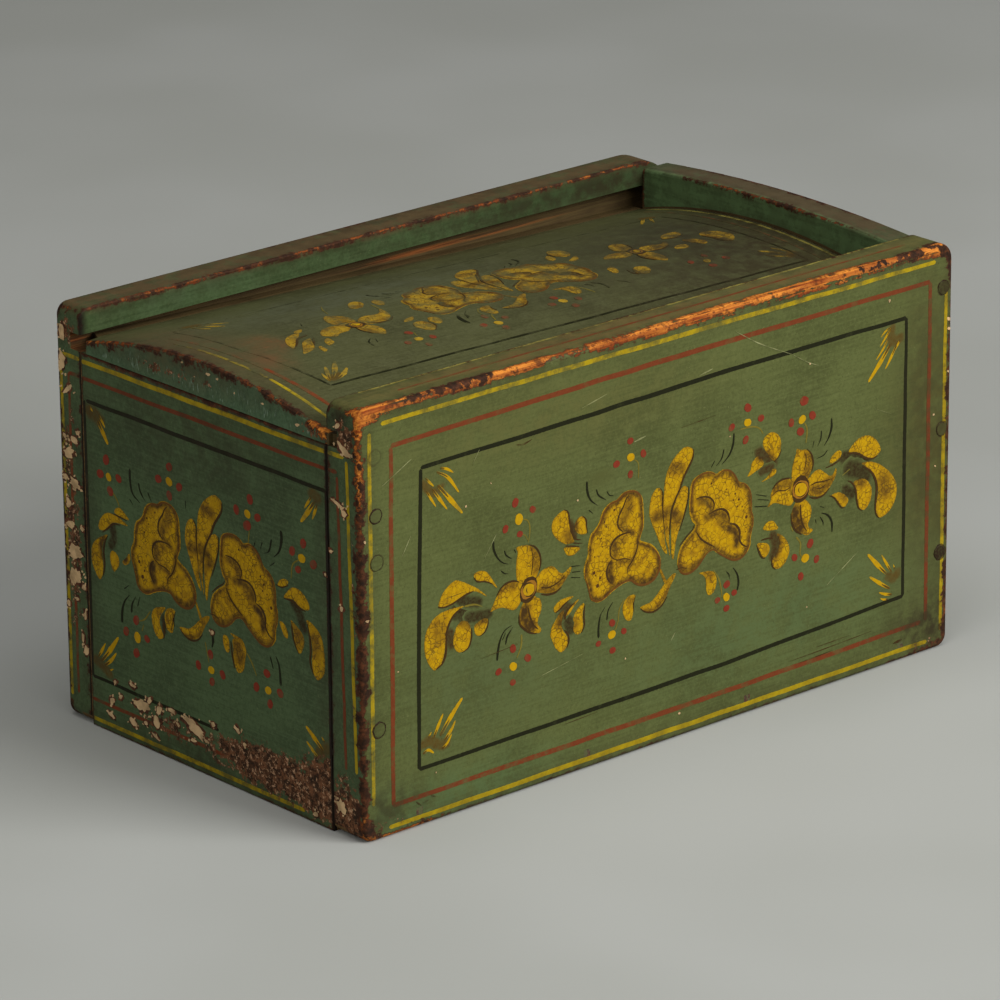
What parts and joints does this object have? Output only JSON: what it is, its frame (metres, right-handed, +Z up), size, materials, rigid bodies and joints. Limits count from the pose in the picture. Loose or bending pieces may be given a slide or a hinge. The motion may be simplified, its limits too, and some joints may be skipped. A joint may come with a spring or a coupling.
{
  "type": "slide-lid box",
  "caption": "Painted wooden box with a domed lid that slides out lengthwise over a low end board, for papers and keepsakes.",
  "frame": {"origin": "middle of the underside, on the surface that the box stands on", "axes": "+X along the box towards the tall end board, +Y towards the back, +Z up; the lid slides out towards -X, a little uphill"},
  "size_m": [0.337, 0.1986, 0.1868],
  "materials": {
    "painted_case": "aged green paint on pine, satin, worn to the wood along its arrises",
    "painted_end": "darker blue-green aged paint on pine, satin, flaking at the corners",
    "painted_lid": "rubbed olive-grey paint on pine, satin",
    "bare_wood": "bare aged pine, matt",
    "peg_wood": "painted and rubbed hardwood peg, satin",
    "nail_iron": "dark rusted iron"
  },
  "bodies": {
    "case": {"front_board": "painted_case", "back_board": "painted_case", "low_end_board": "painted_end", "tall_end_board": "painted_end", "bottom_board": "bare_wood", "front_low_end_pegs": "peg_wood", "front_tall_end_pegs": "peg_wood", "back_low_end_pegs": "peg_wood", "back_tall_end_pegs": "peg_wood", "front_bottom_nails": "nail_iron", "back_bottom_nails": "nail_iron"},
    "lid": {"sliding_lid": "painted_lid"}
  },
  "joints": [
    {"name": "lid_slide", "type": "slide", "parent": "case", "child": "lid", "axis": [-0.9997, 0, 0.0262], "range_m": [0, 0.32]}
  ]
}
